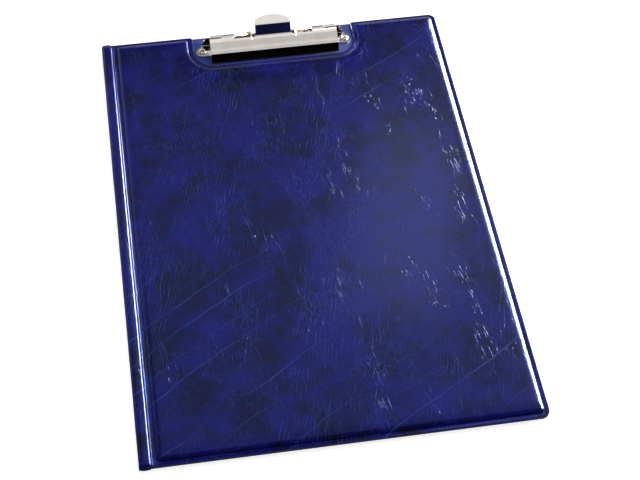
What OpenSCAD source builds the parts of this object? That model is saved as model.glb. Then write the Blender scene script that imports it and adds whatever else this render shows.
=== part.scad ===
// Folding A4 clipboard: two boards welded into PVC foil, joined by a rolled foil spine.
// A sprung lever clip is riveted to the back cover and shows through a notch in the front cover.
// X runs from the spine to the free edge, Y to the clip's end, Z up from the back cover's outside.

/* [Folder] */
// Width of the closed folder, from the spine roll to the free edge
folder_w = 230; // [216:1:250]
// Height of both covers
folder_h = 320; // [300:1:350]
// Radius of the foil's outer corners
corner_r = 5; // [3:0.5:8]
// Width of the welded edge around each board
seam_w = 3; // [2:0.5:5]
// How far the spine roll stands out past the covers' weld
spine_reach = 7; // [5:0.5:12]
// Height of the spine's bulge above its weld
spine_bulge = 2; // [1:0.25:2.5]
// Air between the closed covers
closed_gap = 0.3; // [0.3:0.05:2]

/* [Layers] */
// Thickness of the marbled outer foil
outer_foil_t = 0.4; // [0.3:0.05:0.6]
// Thickness of the smooth inner foil
inner_foil_t = 0.3; // [0.2:0.05:0.5]
// Thickness of the back cover's greyboard
back_board_t = 2.5; // [2:0.1:4]
// Thickness of the front cover's greyboard
front_board_t = 1.5; // [1:0.1:2]
// Thickness of the foam under the front foil
padding_t = 1.3; // [1:0.1:3]
// Width of the front cover's soft shoulder, inside its weld
shoulder_w = 9; // [6:0.5:14]
// Radius of the foil where it wraps the back board
wrap_r = 1.2; // [0.8:0.1:1.8]
// Thickness of the pocket's sheet
pocket_t = 0.2; // [0.15:0.05:0.3]
// Height of the pocket inside the front cover
pocket_h = 210; // [120:5:240]
// Radius of the thumb cut in the pocket's mouth
pocket_cut_r = 14; // [8:1:20]

/* [Notch] */
// Width of the cut in the front cover that clears the clip
notch_w = 109; // [104:1:120]
// Depth of that cut from the top edge
notch_depth = 28; // [26:0.5:32]
// Radius of the cut's inner corners
notch_r = 15; // [6:0.5:18]
// Radius of the cut's corners at the top edge
notch_mouth_r = 2; // [1:0.25:3]

/* [Clip] */
// Centre of the clip, from the middle of the folder
clip_x = 1; // [-4:0.5:6]
// Distance of the hinge pin from the top edge
pin_inset = 9; // [8.5:0.25:10]
// Height of the hinge pin above the back cover's inside
pin_h = 7.8; // [7.4:0.1:9]
// Radius of the hinge pin
pin_r = 1.1; // [0.9:0.05:1.3]
// Thickness of the clip's sheet steel
sheet_t = 0.8; // [0.6:0.05:1]
// Width of the jaw
jaw_w = 86.4; // [80:0.5:90]
// Distance from the pin forward to the jaw's crease
jaw_reach = 12.8; // [11:0.2:14]
// Distance from the crease forward to the jaw's lip
lip_reach = 3.3; // [2:0.1:3.5]
// Height of the crease below the pin
crease_drop = 2.5; // [1.5:0.1:3.5]
// Width of one base knuckle
base_knuckle_w = 7.2; // [5:0.2:9]
// Width of one jaw knuckle
jaw_knuckle_w = 8; // [5:0.2:8.6]
// Gap between neighbouring knuckles
knuckle_gap = 0.4; // [0.3:0.05:0.8]

/* [Tab] */
// Width of the thumb tab
tab_w = 24; // [16:0.5:25]
// Height of the tab's riser above the pin
riser_h = 8.6; // [6:0.2:11]
// How far the riser leans back
riser_lean = 2.4; // [1:0.1:4]
// Distance of the riser's foot in front of the pin
riser_setback = 2.4; // [1:0.1:3]
// Slope of the thumb plate, down towards the back
tab_slope = 20; // [5:1:30]
// Length of the thumb plate before its half-round end
tab_run = 3; // [1:0.25:5]

/* [Base] */
// Distance between the two rivets
rivet_pitch = 97.2; // [96:0.2:98]
// Distance of the rivets in front of the pin
rivet_setback = 4.5; // [4.2:0.1:6]
// Radius of the rounded ears around the rivets
ear_r = 4.3; // [3.8:0.1:4.6]
// Depth of the base strip in front of the pin
base_depth = 12.6; // [10:0.2:13]
// Height of the rear wall, between the knuckles
wall_h = 4.9; // [4:0.1:4.9]
// Height of the rear wall's end lugs
lug_h = 6.8; // [5.5:0.1:7]
// How much shorter the lugs are at their top
lug_slope = 3; // [1:0.25:4]
// Radius of the rivets' shanks
rivet_r = 1.9; // [1.6:0.05:2.1]
// Radius of the rolled ring on each rivet
ring_r = 2.9; // [2.5:0.1:3.2]
// Radius of the rivets' flat heads under the back cover
head_r = 4; // [3.5:0.1:4.5]

/* [Springs] */
// Diameter of the spring wire
wire_d = 0.8; // [0.7:0.05:0.9]
// Mean radius of the coils
coil_r = 2.15; // [2.05:0.05:2.3]
// Length of one coiled stretch
coil_l = 11.8; // [9:0.1:11.9]
// Turns of wire on one spring
coil_turns = 13; // [8:1:13]
// Length of the leg that presses on the jaw
jaw_leg = 6; // [5:0.25:8]
// Length of the leg behind the rear wall
base_leg = 5.5; // [4:0.25:6]

/* [Hidden] */
$fn = 48;

// Running clearance of the pin, and of a rivet in its holes
pin_play = 0.05;
rivet_play = 0.1;
// Clearance between parts that move past each other, and under a leg that rests on a plate
move_gap = 0.3;
seat_gap = 0.1;
// How far the jaw's plate sinks into its knuckles, so that the two join cleanly
tuck = 0.05;
// Room between a board's edge and the foil wall, and between foam and foil
board_play = 1;
foam_play = 0.12;
// How square the padded shoulder is: 2 is an ellipse, more is squarer
shoulder_power = 3;
// Smallest corner radius of the panel inside the weld, and of the foil where it runs on into the spine
panel_r = 2.5;
spine_corner_r = 0.2;
// Points along each arc
corner_steps = 5;
notch_steps = 8;
skin_steps = 6;
curve_steps = 10;
// Cutting tools reach this far past what they cut
over = 1;

// Heights of the layers, from the back cover's outside up
back_board_z = outer_foil_t;
back_inner_z = back_board_z + back_board_t;
back_top_z = back_inner_z + inner_foil_t;
pocket_z = back_top_z + closed_gap;
front_inner_z = pocket_z + pocket_t;
front_board_z = front_inner_z + inner_foil_t;
padding_z = front_board_z + front_board_t;
front_top_z = padding_z + padding_t + outer_foil_t;
hinge_z = front_top_z / 2;

// Plan of the covers
roll_x = -folder_w / 2;
free_x = folder_w / 2;
weld_x = roll_x + spine_reach;
top_y = folder_h / 2;
front_board_inset = seam_w + board_play;
back_board_inset = seam_w + wrap_r;
notch_y = top_y - notch_depth;
notch_round = min(notch_r, notch_depth - seam_w - shoulder_w - panel_r);

// Clip, measured from the pin's foot on the back cover's inside
pin_y = top_y - pin_inset;
bore_r = pin_r + pin_play;
knuckle_r = bore_r + sheet_t;
half_t = sheet_t / 2;
base_knuckle_x = jaw_w / 2 - sheet_t;
jaw_knuckle_x = base_knuckle_x - base_knuckle_w - knuckle_gap;
spring_x = jaw_knuckle_x - jaw_knuckle_w - knuckle_gap;
coil_cut_r = coil_r + 1.5 * wire_d + move_gap;
lug_x = rivet_pitch / 2 + half_t;
base_strip_x = jaw_w / 2;
head_t = outer_foil_t + rivet_play;

// ---- Points and curves

// Arc about c, in the plane of the drawing
function arc(c, r, a0, a1, n) = [for (i = [0 : n]) let (a = a0 + (a1 - a0) * i / n) c + r * [cos(a), sin(a)]];

// Cubic curve from a to d, leaving towards b and arriving from c
function bezier(a, b, c, d, n) = [for (i = [0 : n]) let (t = i / n, u = 1 - t)
    u * u * u * a + 3 * u * u * t * b + 3 * u * t * t * c + t * t * t * d];

// Left-hand normal of a path at point i, long enough to keep a bent sheet's thickness
function unit(v) = v / norm(v);
function left_of(v) = [-v[1], v[0]];
function path_normal(path, i) = let (
    last = len(path) - 1,
    n1 = left_of(unit(path[max(i, 1)] - path[max(i, 1) - 1])),
    n2 = left_of(unit(path[min(i, last - 1) + 1] - path[min(i, last - 1)]))
) (n1 + n2) / (1 + n1 * n2);
function shifted(path, o) = [for (i = [0 : len(path) - 1]) path[i] + o * path_normal(path, i)];
function reversed(list) = [for (i = [len(list) - 1 : -1 : 0]) list[i]];

// Section of a sheet that lies between two offsets of a path
module ribbon(path, o0, o1) polygon(concat(shifted(path, o0), reversed(shifted(path, o1))));

// Section drawn in Y and Z, extruded along X about the middle
module across(w) rotate([90, 0, 90]) translate([0, 0, -w / 2]) linear_extrude(w) children();

// Closed solid through rings of equal point counts, with both ends filled by the same faces
module loft(rings, end_faces) {
    n = len(rings[0]);
    last = len(rings) - 1;
    sides = [for (k = [0 : last - 1], i = [0 : n - 1]) let (j = (i + 1) % n)
        [k * n + i, (k + 1) * n + i, (k + 1) * n + j, k * n + j]];
    caps = concat(end_faces, [for (face = end_faces) [for (i = reversed(face)) last * n + i]]);
    polyhedron([for (ring = rings, p = ring) p], concat(sides, caps), convexity = 8);
}
function one_face(n) = [[for (i = [0 : n - 1]) i]];

// ---- Covers

// Outline of a cover, set in by d, with or without the notch
function outline(d, notched) = let (
    x0 = weld_x + d, x1 = free_x - d, y0 = -top_y + d, y1 = top_y - d,
    r = max(corner_r - d, panel_r),
    q = max(min(d, panel_r), spine_corner_r),
    m = max(notch_mouth_r - d, panel_r / 2),
    s = notch_w / 2 + d,
    c = notch_w / 2 - notch_round,
    deep = notch_y + notch_round,
    w = notch_round + d
) concat(
    arc([x0 + q, y0 + q], q, 180, 270, corner_steps),
    arc([x1 - r, y0 + r], r, 270, 360, corner_steps),
    arc([x1 - r, y1 - r], r, 0, 90, corner_steps),
    notched ? concat(
        arc([clip_x + s + m, y1 - m], m, 90, 180, corner_steps),
        arc([clip_x + c, deep], w, 0, -90, notch_steps),
        arc([clip_x - c, deep], w, -90, -180, notch_steps),
        arc([clip_x - s - m, y1 - m], m, 0, 90, corner_steps)
    ) : [],
    arc([x0 + q, y1 - q], q, 90, 180, corner_steps)
);
function ring(d, z, notched) = [for (p = outline(d, notched)) [p[0], p[1], z]];

// Convex faces that fill a notched outline: below the notch, then a fan on its right and one on its left
function notched_faces() = let (
    low = 2 * corner_steps + 1,
    foot = 4 * (corner_steps + 1) + notch_steps,
    last = len(outline(0, true)) - 1
) concat(
    [concat([for (i = [0 : low]) i], [foot, foot + 1])],
    [for (i = [low + 1 : foot - 1]) [low, i, i + 1]],
    [for (i = [foot + 1 : last - 1]) [0, i, i + 1]]
);
module cover_loft(rings, notched) loft(rings, notched ? notched_faces() : one_face(len(rings[0])));

// Flat layer of a cover
module layer(d, z, t, notched) translate([0, 0, z]) linear_extrude(t) polygon(outline(d, notched));

// Padded front: share of the rise at s across the shoulder, and the skin's height over inset d
function shoulder(s) = pow(1 - pow(1 - s, shoulder_power), 1 / shoulder_power);
front_weld_z = front_board_z + outer_foil_t;
front_rise = front_top_z - front_weld_z;
function front_skin(g) = [for (k = [0 : skin_steps]) let (s = pow(k / skin_steps, 2))
    [seam_w + g + s * (shoulder_w - g), front_weld_z - g + front_rise * shoulder(s)]];

// Wrapped back: rings from the weld down and round the board's lower edge
function back_skin(g) = [for (k = [0 : skin_steps]) let (a = 90 * k / skin_steps)
    [seam_w + wrap_r - (wrap_r - g) * cos(a), wrap_r - (wrap_r - g) * sin(a)]];

module rivet_pair() for (side = [-1, 1]) translate([clip_x + side * rivet_pitch / 2, pin_y - rivet_setback, 0]) children();

module rivet_holes() rivet_pair() translate([0, 0, -over]) cylinder(r = rivet_r + rivet_play, h = front_top_z + over);

module back_outer_foil() color("midnightblue") difference() {
    cover_loft(concat(
        [for (p = reversed(back_skin(0))) ring(p[0], p[1], false)],
        [ring(seam_w, back_inner_z - outer_foil_t, false), ring(0, back_inner_z - outer_foil_t, false)],
        [ring(0, back_inner_z, false), ring(seam_w + outer_foil_t, back_inner_z, false)],
        [for (p = back_skin(outer_foil_t)) ring(p[0], p[1], false)]
    ), false);
    rivet_pair() translate([0, 0, -over]) cylinder(r = head_r + rivet_play, h = outer_foil_t + 2 * over);
}

module back_board() color("tan") difference() {
    layer(back_board_inset, back_board_z, back_board_t, false);
    rivet_holes();
    rivet_pair() translate([0, 0, -over]) cylinder(r = head_r + rivet_play, h = head_t + rivet_play + over);
}

module back_inner_foil() color("royalblue") difference() {
    layer(0, back_inner_z, inner_foil_t, false);
    rivet_holes();
}

module front_outer_foil() color("midnightblue") cover_loft(concat(
    [for (p = reversed(front_skin(outer_foil_t))) ring(p[0], p[1], true)],
    [ring(0, front_board_z, true), ring(0, front_weld_z, true)],
    [for (p = front_skin(0)) ring(p[0], p[1], true)]
), true);

// Foam that follows the underside of the foil, from where the foil has risen past the board
module front_padding() {
    under_foil = [for (p = front_skin(outer_foil_t)) if (p[0] > front_board_inset && p[1] - foam_play > padding_z) p];
    color("gainsboro") cover_loft(concat(
        [ring(under_foil[0][0], padding_z, true)],
        [for (p = under_foil) ring(p[0], p[1] - foam_play, true)]
    ), true);
}

module front_board() color("tan") layer(front_board_inset, front_board_z, front_board_t, true);

module front_inner_foil() color("royalblue") layer(0, front_inner_z, inner_foil_t, true);

// Sheet welded along three sides inside the front cover, with a thumb cut in its mouth
module inner_pocket() color("cornflowerblue") translate([0, 0, pocket_z]) linear_extrude(pocket_t) {
    mouth_y = -top_y + seam_w + pocket_h;
    difference() {
        translate([weld_x + seam_w, -top_y + seam_w]) square([free_x - weld_x - 2 * seam_w, pocket_h]);
        translate([(weld_x + free_x) / 2, mouth_y]) circle(r = pocket_cut_r);
    }
}

// ---- Spine: half of the roll, from the weld round to the hinge line; side is 1 in front, -1 at the back

function roll_path(z, side) = bezier(
    [weld_x, z], [weld_x - spine_reach / 3, z + side * spine_bulge],
    [roll_x, z + side * 1.4 * spine_bulge], [roll_x, hinge_z + side * closed_gap / 2], curve_steps);

module roll_layer(z, side, o0, o1) translate([0, top_y, 0]) rotate([90, 0, 0]) linear_extrude(folder_h) intersection() {
    ribbon(roll_path(z, side), side * o0, side * o1);
    translate([roll_x, 0]) square([spine_reach, front_top_z]);
}

back_weld_z = back_inner_z - outer_foil_t;
lined_t = outer_foil_t + inner_foil_t;
module spine_foil_back() color("midnightblue") roll_layer(back_weld_z, -1, 0, outer_foil_t);
module spine_lining_back() color("royalblue") roll_layer(back_weld_z, -1, outer_foil_t, lined_t);
module spine_foil_front() color("midnightblue") roll_layer(front_weld_z, 1, 0, outer_foil_t);
module spine_lining_front() color("royalblue") roll_layer(front_weld_z, 1, outer_foil_t, lined_t);

// ---- Clip, drawn about the pin's foot

module at_clip() translate([clip_x, pin_y, back_top_z]) children();
module at_pin() at_clip() translate([0, 0, pin_h]) children();
module along_x(r, x0, x1) translate([x0, 0, 0]) rotate([0, 90, 0]) cylinder(r = r, h = x1 - x0);

// Knuckle rolled from the sheet, open by a slit where its edge ends
module knuckle(x0, w, slit_angle) translate([0, 0, pin_h]) difference() {
    along_x(knuckle_r, x0, x0 + w);
    along_x(bore_r, x0 - over, x0 + w + over);
    rotate([slit_angle, 0, 0]) translate([x0 - over, 0, -move_gap / 2]) cube([w + 2 * over, knuckle_r + over, move_gap]);
}

// Rear wall and floor in one bent sheet
function base_path(h) = concat([[-base_depth, half_t]],
    arc([bore_r + half_t - sheet_t, half_t + sheet_t], sheet_t, -90, 0, corner_steps), [[bore_r + half_t, h]]);

module clip_base() color("silver") at_clip() difference() {
    union() {
        across(2 * base_strip_x) ribbon(base_path(wall_h), -half_t, half_t);
        for (side = [-1, 1]) {
            // ear and its neck
            translate([side * rivet_pitch / 2, -rivet_setback, 0]) cylinder(r = ear_r, h = sheet_t);
            translate([side > 0 ? base_strip_x - over : -rivet_pitch / 2, -rivet_setback - ear_r, 0])
                cube([rivet_pitch / 2 - base_strip_x + over, 2 * ear_r, sheet_t]);
            // end lug of the rear wall, sloping to its top
            translate([0, knuckle_r, 0]) rotate([90, 0, 0]) linear_extrude(sheet_t) polygon([
                [side * jaw_knuckle_x, sheet_t], [side * lug_x, sheet_t],
                [side * (lug_x - lug_slope), lug_h], [side * jaw_knuckle_x, lug_h]]);
            // wall up to the knuckle, and the knuckle
            translate([side > 0 ? base_knuckle_x - base_knuckle_w : -base_knuckle_x, bore_r, half_t])
                cube([base_knuckle_w, sheet_t, pin_h - half_t]);
            knuckle(side > 0 ? base_knuckle_x - base_knuckle_w : -base_knuckle_x, base_knuckle_w, 215);
        }
    }
    for (side = [-1, 1]) translate([side * rivet_pitch / 2, -rivet_setback, -over])
        cylinder(r = rivet_r + rivet_play, h = sheet_t + 2 * over);
}

// Semi-tubular rivet: flat head under the back cover, hollow end rolled over the ear
module rivet() {
    top_z = back_top_z + sheet_t;
    ring_t = (ring_r - rivet_r / 2) / 2;
    color("silver") rotate_extrude() union() {
        square([head_r, head_t]);
        square([rivet_r, back_inner_z / 2]);
        translate([rivet_r / 2, 0]) square([rivet_r / 2, top_z + ring_t / 2]);
        translate([rivet_r / 2 + ring_t, top_z]) intersection() {
            circle(r = ring_t);
            translate([-ring_t, 0]) square([2 * ring_t, ring_t]);
        }
    }
}
module left_rivet() translate([clip_x - rivet_pitch / 2, pin_y - rivet_setback, 0]) rivet();
module right_rivet() translate([clip_x + rivet_pitch / 2, pin_y - rivet_setback, 0]) rivet();

// Pin with both ends peened
module hinge_pin() color("gainsboro") at_pin() {
    end = base_knuckle_x + pin_play;
    along_x(pin_r, -end, end);
    for (side = [-1, 1]) translate([side * end, 0, 0]) rotate([0, side * 90, 0])
        cylinder(r1 = knuckle_r - half_t, r2 = pin_r / 2, h = half_t);
}

// Jaw: arched plate from the knuckles to a crease, then a steep lip
crease = [-jaw_reach, pin_h - crease_drop];
arch_h = pin_h + bore_r + half_t - tuck;
function jaw_arch() = bezier([0, arch_h], [-jaw_reach / 2, arch_h],
    crease + [jaw_reach / 4, crease_drop / 2], crease, curve_steps);
lip_foot = [-jaw_reach - lip_reach, move_gap + half_t];

// Thumb tab: riser from the arch's rear, and a half-round plate that slopes back
riser_foot = [-riser_setback, arch_h];
riser_top = riser_foot + [riser_lean, pin_h + riser_h - arch_h];

module jaw_plate() color("silver") at_clip() difference() {
    union() {
        difference() {
            across(jaw_w) ribbon(concat(jaw_arch(), [lip_foot]), -half_t, half_t);
            // the tab is bent up out of the plate here
            translate([-tab_w / 2 - knuckle_gap, -riser_setback, 0])
                cube([tab_w + 2 * knuckle_gap, tab_w, 2 * pin_h]);
        }
        for (x = [-jaw_knuckle_x, jaw_knuckle_x - jaw_knuckle_w]) knuckle(x, jaw_knuckle_w, 60);
        across(tab_w) ribbon([riser_foot - [half_t, 0], riser_foot, riser_top], -half_t, half_t);
        translate([0, riser_top[0], riser_top[1]]) rotate([-tab_slope, 0, 0]) translate([0, 0, -half_t]) {
            translate([-tab_w / 2, 0, 0]) cube([tab_w, tab_run, sheet_t]);
            translate([0, tab_run, 0]) intersection() {
                cylinder(r = tab_w / 2, h = sheet_t);
                translate([-tab_w, 0, -over]) cube([2 * tab_w, tab_w, sheet_t + 2 * over]);
            }
        }
    }
    translate([0, 0, pin_h]) along_x(bore_r, -jaw_w, jaw_w);
    // slots in the rear edge for the base knuckles and the springs
    slot_y = -knuckle_r - move_gap;
    for (side = [-1, 1]) {
        translate([side > 0 ? jaw_knuckle_x + knuckle_gap / 2 : -jaw_w, slot_y, 0])
            cube([jaw_w - jaw_knuckle_x - knuckle_gap / 2, tab_w, 2 * pin_h]);
        translate([side > 0 ? tab_w / 2 + knuckle_gap : -spring_x - knuckle_gap / 2, -coil_cut_r, 0])
            cube([spring_x + knuckle_gap / 2 - tab_w / 2 - knuckle_gap, tab_w, 2 * pin_h]);
    }
}

// ---- Springs: jaw leg, coil and base leg in one wire, right-hand one; the left one is its mirror image

wire_sides = 8;
turn_steps = 12;
base_leg_angle = 8;
coil_x0 = spring_x - coil_l + wire_d / 2;
coil_sweep = 360 * (coil_turns - 1) + 90 - base_leg_angle;
coil_steps = turn_steps * coil_turns;
function coil_point(t) = let (a = 90 - t * coil_sweep)
    [coil_x0 + t * (coil_l - wire_d), coil_r * cos(a), coil_r * sin(a)];
function leg_on_arch() = [for (p = reversed(shifted(jaw_arch(), -(half_t + wire_d / 2 + seat_gap))))
    if (p[0] > -jaw_leg && p[0] < -coil_r) [coil_x0, p[0], p[1] - pin_h]];
function wire_path() = concat(
    leg_on_arch(),
    [for (i = [0 : coil_steps]) coil_point(i / coil_steps)],
    [[spring_x - wire_d / 2, coil_r * cos(base_leg_angle) + base_leg * sin(base_leg_angle),
        coil_r * sin(base_leg_angle) - base_leg * cos(base_leg_angle)]]
);

// Ring of wire about point i of a path, square to it and never turned about it
function along(path, i) = unit(path[min(i + 1, len(path) - 1)] - path[max(i - 1, 0)]);
function wire_ring(path, i) = let (t = along(path, i), u = unit(cross(t, [1, 0, 0])), v = cross(u, t))
    [for (k = [0 : wire_sides - 1]) let (a = -360 * k / wire_sides)
        path[i] + wire_d / 2 * (cos(a) * u + sin(a) * v)];

module torsion_spring() color("lightgrey") {
    path = wire_path();
    loft([for (i = [0 : len(path) - 1]) wire_ring(path, i)], one_face(wire_sides));
}
module right_torsion_spring() at_pin() torsion_spring();
module left_torsion_spring() at_pin() mirror([1, 0, 0]) torsion_spring();

back_outer_foil();
back_board();
back_inner_foil();
spine_foil_back();
spine_lining_back();
front_outer_foil();
front_padding();
front_board();
front_inner_foil();
inner_pocket();
spine_foil_front();
spine_lining_front();
clip_base();
left_rivet();
right_rivet();
hinge_pin();
left_torsion_spring();
right_torsion_spring();
jaw_plate();
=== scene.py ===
import math

import bmesh
import bpy
from mathutils import Euler, Matrix, Vector, noise
from mathutils.geometry import interpolate_bezier


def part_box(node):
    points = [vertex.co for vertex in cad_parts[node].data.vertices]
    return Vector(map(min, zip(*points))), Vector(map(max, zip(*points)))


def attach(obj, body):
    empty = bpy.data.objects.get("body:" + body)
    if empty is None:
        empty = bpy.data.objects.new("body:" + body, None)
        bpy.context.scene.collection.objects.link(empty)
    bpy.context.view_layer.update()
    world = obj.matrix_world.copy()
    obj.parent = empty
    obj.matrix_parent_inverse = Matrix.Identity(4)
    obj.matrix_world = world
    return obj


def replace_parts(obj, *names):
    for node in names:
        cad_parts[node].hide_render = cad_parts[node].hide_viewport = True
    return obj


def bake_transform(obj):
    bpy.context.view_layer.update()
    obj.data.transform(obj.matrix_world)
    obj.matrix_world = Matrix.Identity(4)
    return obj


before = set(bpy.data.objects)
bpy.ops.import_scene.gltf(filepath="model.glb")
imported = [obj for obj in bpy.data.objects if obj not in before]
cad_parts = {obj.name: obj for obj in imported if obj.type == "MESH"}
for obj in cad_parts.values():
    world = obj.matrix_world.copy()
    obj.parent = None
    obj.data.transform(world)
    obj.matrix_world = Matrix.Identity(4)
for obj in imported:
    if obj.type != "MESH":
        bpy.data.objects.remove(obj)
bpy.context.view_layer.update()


# ---- Back cover: outer foil ----
# The folder's skin is soft PVC foil with a marbled, crushed-leather print, welded round each board.
# At the back it is drawn tightly over the board's lower edge, up to the flat welded flange.

MM = 0.001  # sizes are in millimetres, and a finished piece is scaled to metres

seam_w = 3
corner_r = 5
panel_r = 2.5
spine_corner_r = 0.2
outer_foil_t = 0.4
wrap_r = 1.2
flange_r = 0.3
edge_soft = 0.1
corner_steps = 8
skin_steps = 12


def box_mm(node):
    """Lowest and highest corner of a CAD node, in millimetres."""
    return [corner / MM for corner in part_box(node)]


back_low, back_high = box_mm("back_outer_foil")
weld_x, bottom_y, free_x, top_y = back_low.x, back_low.y, back_high.x, back_high.y


def paint(code):
    """An sRGB hex colour as the linear colour that a shader takes."""
    parts = [int(code[i:i + 2], 16) / 255 for i in (1, 3, 5)]
    return [c / 12.92 if c <= 0.04045 else ((c + 0.055) / 1.055) ** 2.4 for c in parts] + [1]


def add(tree, kind, sockets, **settings):
    """One node, with its settings; each socket gets a value or the output that feeds it."""
    made = tree.nodes.new(kind)
    for name, value in settings.items():
        setattr(made, name, value)
    for name, value in sockets.items():
        if isinstance(value, bpy.types.NodeSocket):
            tree.links.new(value, made.inputs[name])
        else:
            made.inputs[name].default_value = value
    return made


def new_material(name, **finish):
    """A material with the sockets that are the same all over; returns it, its nodes and its shader."""
    made = bpy.data.materials.new(name)
    made.use_nodes = True
    shader = made.node_tree.nodes["Principled BSDF"]
    for socket, value in finish.items():
        shader.inputs[socket.replace("_", " ")].default_value = value
    return made, made.node_tree, shader


def every(size):
    """Scale of a pattern that repeats about every so many millimetres."""
    return 1 / (size * MM)


def marbled_foil_material():
    # Plasticised PVC with a printed marbling and a crushed grain: dark navy clouds and lighter blue
    # creases in bundles along the cover, in a pearly print under thin clear lacquer that glints.
    made, tree, shader = new_material("marbled_pvc_foil", Roughness=0.2, Specular_IOR_Level=0.35,
                                      Coat_Weight=0.15, Coat_Roughness=0.12)
    shader.inputs["Specular Tint"].default_value = paint("#5478f0")
    place = add(tree, "ShaderNodeTexCoord", {}).outputs["Object"]
    # clouds, on a place that drifts to and fro so that nothing in the print runs quite straight
    drift = add(tree, "ShaderNodeTexNoise", {"Vector": place, "Scale": every(30), "Detail": 3.0})
    drift_reach = (6 * MM,) * 3
    bent = add(tree, "ShaderNodeVectorMath", {0: drift.outputs["Color"], 1: drift_reach, 2: place},
               operation="MULTIPLY_ADD").outputs[0]
    cloud = add(tree, "ShaderNodeTexNoise",
                {"Vector": bent, "Scale": every(26), "Detail": 6.0, "Roughness": 0.6})
    cloud = add(tree, "ShaderNodeMapRange", {0: cloud.outputs["Fac"], 1: 0.36, 2: 0.64},
                interpolation_type="SMOOTHSTEP").outputs[0]
    # creases: wavy lines, broken into short streaks and gathered in bundles. Each kind has its gap
    # in millimetres, turn in degrees, stretch, the height of wave that shows as a line, and waviness
    kinds = ((1.5, 9, 4, 0.88, 6), (2.3, -14, 3.3, 0.9, 6), (14, -58, 4, 0.988, 4))
    wave_period = math.pi / 10  # of Blender's wave texture at a scale of 1
    crease = None
    for gap, turn, stretch, crest, waviness in kinds:
        along = add(tree, "ShaderNodeMapping", {"Vector": bent, "Rotation": (0, 0, math.radians(turn)),
                                                "Scale": (1, stretch, 1)}, vector_type="TEXTURE").outputs[0]
        wave = add(tree, "ShaderNodeTexWave",
                   {"Vector": along, "Scale": every(gap) * wave_period, "Distortion": waviness, "Detail": 4.0,
                    "Detail Scale": 1.1, "Detail Roughness": 0.6}, bands_direction="X")
        line = add(tree, "ShaderNodeMapRange", {0: wave.outputs["Fac"], 1: crest, 2: 1.0}).outputs[0]
        streak = add(tree, "ShaderNodeTexNoise", {"Vector": along, "Scale": every(1.2 * gap), "Detail": 2.0})
        streak = add(tree, "ShaderNodeMapRange", {0: streak.outputs["Fac"], 1: 0.46, 2: 0.62}).outputs[0]
        bundle = add(tree, "ShaderNodeTexNoise", {"Vector": along, "Scale": every(8 * gap), "Detail": 2.0})
        bundle = add(tree, "ShaderNodeMapRange", {0: bundle.outputs["Fac"], 1: 0.46, 2: 0.64}).outputs[0]
        line = add(tree, "ShaderNodeMath", {0: line, 1: streak}, operation="MULTIPLY").outputs[0]
        line = add(tree, "ShaderNodeMath", {0: line, 1: bundle}, operation="MULTIPLY").outputs[0]
        if crease:
            line = add(tree, "ShaderNodeMath", {0: crease, 1: line}, operation="MAXIMUM").outputs[0]
        crease = line
    # a net of hairline cracks between them
    leant = add(tree, "ShaderNodeMapping",
                {"Vector": bent, "Rotation": (0, 0, 0.2), "Scale": (1, 0.45, 1)}).outputs[0]
    jag = add(tree, "ShaderNodeTexNoise", {"Vector": place, "Scale": every(1.5), "Detail": 2.0})
    jag_reach = (0.8 * MM,) * 3
    leant = add(tree, "ShaderNodeVectorMath", {0: jag.outputs["Color"], 1: jag_reach, 2: leant},
                operation="MULTIPLY_ADD").outputs[0]
    net = add(tree, "ShaderNodeTexVoronoi", {"Vector": leant, "Scale": every(2.6)},
              feature="DISTANCE_TO_EDGE").outputs["Distance"]
    net = add(tree, "ShaderNodeMapRange", {0: net, 1: 0.0, 2: 0.06, 3: 1.0, 4: 0.0}).outputs[0]
    patch = add(tree, "ShaderNodeTexNoise", {"Vector": bent, "Scale": every(20), "Detail": 4.0})
    patch = add(tree, "ShaderNodeMapRange", {0: patch.outputs["Fac"], 1: 0.48, 2: 0.66, 4: 0.45}).outputs[0]
    net = add(tree, "ShaderNodeMath", {0: net, 1: patch}, operation="MULTIPLY").outputs[0]
    crease = add(tree, "ShaderNodeMath", {0: crease, 1: net}, operation="MAXIMUM").outputs[0]
    # the print's colour, and the height of its grain and creases
    mottle = add(tree, "ShaderNodeTexNoise", {"Vector": place, "Scale": every(2.2), "Detail": 3.0})
    mottle = add(tree, "ShaderNodeMapRange", {0: mottle.outputs["Fac"], 1: 0.3, 2: 0.7, 4: 0.35}).outputs[0]
    ground = add(tree, "ShaderNodeMix", {0: cloud, 6: paint("#080512"), 7: paint("#110f66")},
                 data_type="RGBA").outputs[2]
    ground = add(tree, "ShaderNodeMix", {0: mottle, 6: ground, 7: paint("#191860")},
                 data_type="RGBA").outputs[2]
    share = add(tree, "ShaderNodeMath", {0: crease, 1: 0.5}, operation="MULTIPLY").outputs[0]
    colour = add(tree, "ShaderNodeMix", {0: share, 6: ground, 7: paint("#3a5cb0")},
                 data_type="RGBA").outputs[2]
    tree.links.new(colour, shader.inputs["Base Color"])
    grain = add(tree, "ShaderNodeTexNoise", {"Vector": place, "Scale": every(1.2), "Detail": 2.0})
    height = add(tree, "ShaderNodeMath", {0: grain.outputs["Fac"], 1: 0.8, 2: crease},
                 operation="MULTIPLY_ADD").outputs[0]
    bump = add(tree, "ShaderNodeBump", {"Height": height, "Distance": 0.038 * MM})
    tree.links.new(bump.outputs[0], shader.inputs["Normal"])
    tree.links.new(bump.outputs[0], shader.inputs["Coat Normal"])
    return made


def ring(bm, corners, z):
    """A closed loop of edges at height z through corners of (x, y, radius), each one rounded."""
    before = set(bm.edges)
    verts = [bm.verts.new((x, y, z)) for x, y, _ in corners]
    for a, b in zip(verts, verts[1:] + verts[:1]):
        bm.edges.new((a, b))
    for vert, (_, _, radius) in zip(verts, corners):
        bmesh.ops.bevel(bm, geom=[vert], offset=radius, offset_type="OFFSET", segments=corner_steps,
                        profile=0.5, affect="VERTICES", material=-1)
    return [e for e in bm.edges if e not in before]


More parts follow.
